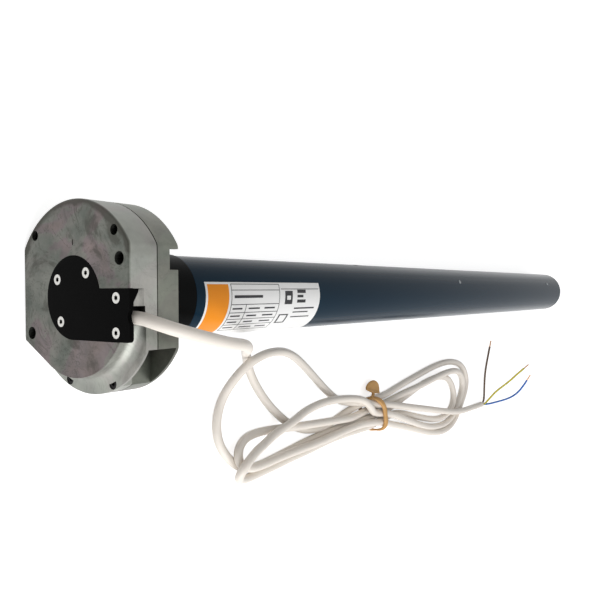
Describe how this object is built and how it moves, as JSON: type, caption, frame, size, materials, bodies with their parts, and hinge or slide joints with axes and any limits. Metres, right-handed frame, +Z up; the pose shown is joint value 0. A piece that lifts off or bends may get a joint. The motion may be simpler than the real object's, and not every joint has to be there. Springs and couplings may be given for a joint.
{
  "type": "tubular roller blind motor",
  "caption": "Tubular motor for a roller blind or awning, with a round two-flat head, a manual override, a painted tube and a hanked supply cord",
  "frame": {"origin": "middle of the head's mounting face, on the motor axis", "axes": "+X along the motor axis towards the drive end, +Z up from the lower flat of the head that the motor lies on, +Y towards the cover's window side"},
  "size_m": [0.8112, 0.2163, 0.111],
  "materials": {
    "grey_housing": "passivated die casting",
    "black_cover": "matte black moulding",
    "bright_screw": "zinc plated",
    "dark_screw": "blackened",
    "contact_brass": "turned brass",
    "worm_steel": "machined steel",
    "neck_metal": "die cast",
    "gear_plastic": "natural moulding",
    "tube_paint": "smooth dark blue paint",
    "label_film": "printed film",
    "capacitor_can": "smooth",
    "lead_sleeve": "smooth",
    "core_iron": "stacked sheets",
    "winding_copper": "bare copper",
    "brake_lining": "friction lining",
    "white_jacket": "satin sheath",
    "brown_core": "smooth",
    "green_core": "yellow and green",
    "blue_core": "smooth",
    "band_rubber": "tan rubber"
  },
  "bodies": {
    "head": {"head_front": "grey_housing", "head_rear": "grey_housing", "cover": "black_cover", "cover_screws": "bright_screw", "housing_screws": "dark_screw", "cord_gland": "black_cover", "mains_plug": "black_cover", "mains_socket": "black_cover", "contacts": "contact_brass", "inner_leads": "lead_sleeve", "power_cord": "white_jacket", "cord_loop": "white_jacket", "cord_hank": "white_jacket", "cord_tail": "white_jacket", "core_brown": "brown_core", "core_green": "green_core", "core_blue": "blue_core", "copper_ends": "winding_copper", "rubber_band": "band_rubber"},
    "motor": {"neck": "neck_metal", "neck_circlip": "worm_steel", "override_wheel": "gear_plastic", "tube": "tube_paint", "tube_rivets": "bright_screw", "label": "label_film", "limit_unit": "gear_plastic", "capacitor": "capacitor_can", "capacitor_holders": "black_cover", "motor_leads": "lead_sleeve", "stator_core": "core_iron", "stator_windings": "winding_copper", "front_shield": "neck_metal", "rear_shield": "neck_metal", "rotor_bushes": "contact_brass", "brake_housing": "neck_metal", "brake_coil": "winding_copper", "gearbox_ring": "worm_steel", "end_plug": "black_cover", "output_bush": "contact_brass"},
    "crank": {"crank_shaft": "worm_steel"},
    "idler": {"idler_ring": "black_cover"},
    "limit_gear": {"limit_pinion": "gear_plastic"},
    "rotor": {"rotor_core": "core_iron", "rotor_shaft": "worm_steel", "brake_disc": "brake_lining"},
    "carrier_1": {"first_carrier": "worm_steel"},
    "carrier_2": {"second_carrier": "worm_steel"},
    "output": {"output_shaft": "worm_steel", "drive_dog": "worm_steel"},
    "planet_1_1": {"planet_1_1": "gear_plastic"},
    "planet_1_2": {"planet_1_2": "gear_plastic"},
    "planet_1_3": {"planet_1_3": "gear_plastic"},
    "planet_2_1": {"planet_2_1": "gear_plastic"},
    "planet_2_2": {"planet_2_2": "gear_plastic"},
    "planet_2_3": {"planet_2_3": "gear_plastic"},
    "planet_3_1": {"planet_3_1": "gear_plastic"},
    "planet_3_2": {"planet_3_2": "gear_plastic"},
    "planet_3_3": {"planet_3_3": "gear_plastic"}
  },
  "joints": [
    {"name": "motor_turn", "type": "hinge", "parent": "head", "child": "motor", "pos_m": [0, 0, 0], "axis": [1, 0, 0], "continuous": true},
    {"name": "crank_turn", "type": "hinge", "parent": "head", "child": "crank", "pos_m": [0.0185, 0.02, 0], "axis": [0, 0, 1], "continuous": true},
    {"name": "idler_turn", "type": "hinge", "parent": "motor", "child": "idler", "pos_m": [0.05, 0, 0], "axis": [1, 0, 0], "continuous": true},
    {"name": "limit_turn", "type": "hinge", "parent": "motor", "child": "limit_gear", "pos_m": [0.05, 0.0168, 0], "axis": [1, 0, 0], "continuous": true},
    {"name": "rotor_spin", "type": "hinge", "parent": "motor", "child": "rotor", "pos_m": [0.5, 0, 0], "axis": [1, 0, 0], "continuous": true},
    {"name": "carrier_1_turn", "type": "hinge", "parent": "motor", "child": "carrier_1", "pos_m": [0.68, 0, 0], "axis": [1, 0, 0], "continuous": true},
    {"name": "carrier_2_turn", "type": "hinge", "parent": "motor", "child": "carrier_2", "pos_m": [0.71, 0, 0], "axis": [1, 0, 0], "continuous": true},
    {"name": "output_turn", "type": "hinge", "parent": "motor", "child": "output", "pos_m": [0.8, 0, 0], "axis": [1, 0, 0], "continuous": true},
    {"name": "planet_1_1_spin", "type": "hinge", "parent": "carrier_1", "child": "planet_1_1", "pos_m": [0.679, 0.01155, 0], "axis": [1, 0, 0], "continuous": true},
    {"name": "planet_1_2_spin", "type": "hinge", "parent": "carrier_1", "child": "planet_1_2", "pos_m": [0.679, -0.00577, 0.01], "axis": [1, 0, 0], "continuous": true},
    {"name": "planet_1_3_spin", "type": "hinge", "parent": "carrier_1", "child": "planet_1_3", "pos_m": [0.679, -0.00577, -0.01], "axis": [1, 0, 0], "continuous": true},
    {"name": "planet_2_1_spin", "type": "hinge", "parent": "carrier_2", "child": "planet_2_1", "pos_m": [0.709, 0.01155, 0], "axis": [1, 0, 0], "continuous": true},
    {"name": "planet_2_2_spin", "type": "hinge", "parent": "carrier_2", "child": "planet_2_2", "pos_m": [0.709, -0.00577, 0.01], "axis": [1, 0, 0], "continuous": true},
    {"name": "planet_2_3_spin", "type": "hinge", "parent": "carrier_2", "child": "planet_2_3", "pos_m": [0.709, -0.00577, -0.01], "axis": [1, 0, 0], "continuous": true},
    {"name": "planet_3_1_spin", "type": "hinge", "parent": "output", "child": "planet_3_1", "pos_m": [0.739, 0.01155, 0], "axis": [1, 0, 0], "continuous": true},
    {"name": "planet_3_2_spin", "type": "hinge", "parent": "output", "child": "planet_3_2", "pos_m": [0.739, -0.00577, 0.01], "axis": [1, 0, 0], "continuous": true},
    {"name": "planet_3_3_spin", "type": "hinge", "parent": "output", "child": "planet_3_3", "pos_m": [0.739, -0.00577, -0.01], "axis": [1, 0, 0], "continuous": true}
  ],
  "couplings": [
    {"joint": "crank_turn", "follows": "motor_turn", "ratio": -28},
    {"joint": "limit_turn", "follows": "idler_turn", "ratio": 5},
    {"joint": "carrier_1_turn", "follows": "rotor_spin", "ratio": 0.18182},
    {"joint": "carrier_2_turn", "follows": "rotor_spin", "ratio": 0.033058},
    {"joint": "output_turn", "follows": "rotor_spin", "ratio": 0.0060105},
    {"joint": "planet_1_1_spin", "follows": "rotor_spin", "ratio": -0.46753},
    {"joint": "planet_1_2_spin", "follows": "rotor_spin", "ratio": -0.46753},
    {"joint": "planet_1_3_spin", "follows": "rotor_spin", "ratio": -0.46753},
    {"joint": "planet_2_1_spin", "follows": "rotor_spin", "ratio": -0.085006},
    {"joint": "planet_2_2_spin", "follows": "rotor_spin", "ratio": -0.085006},
    {"joint": "planet_2_3_spin", "follows": "rotor_spin", "ratio": -0.085006},
    {"joint": "planet_3_1_spin", "follows": "rotor_spin", "ratio": -0.015456},
    {"joint": "planet_3_2_spin", "follows": "rotor_spin", "ratio": -0.015456},
    {"joint": "planet_3_3_spin", "follows": "rotor_spin", "ratio": -0.015456}
  ]
}
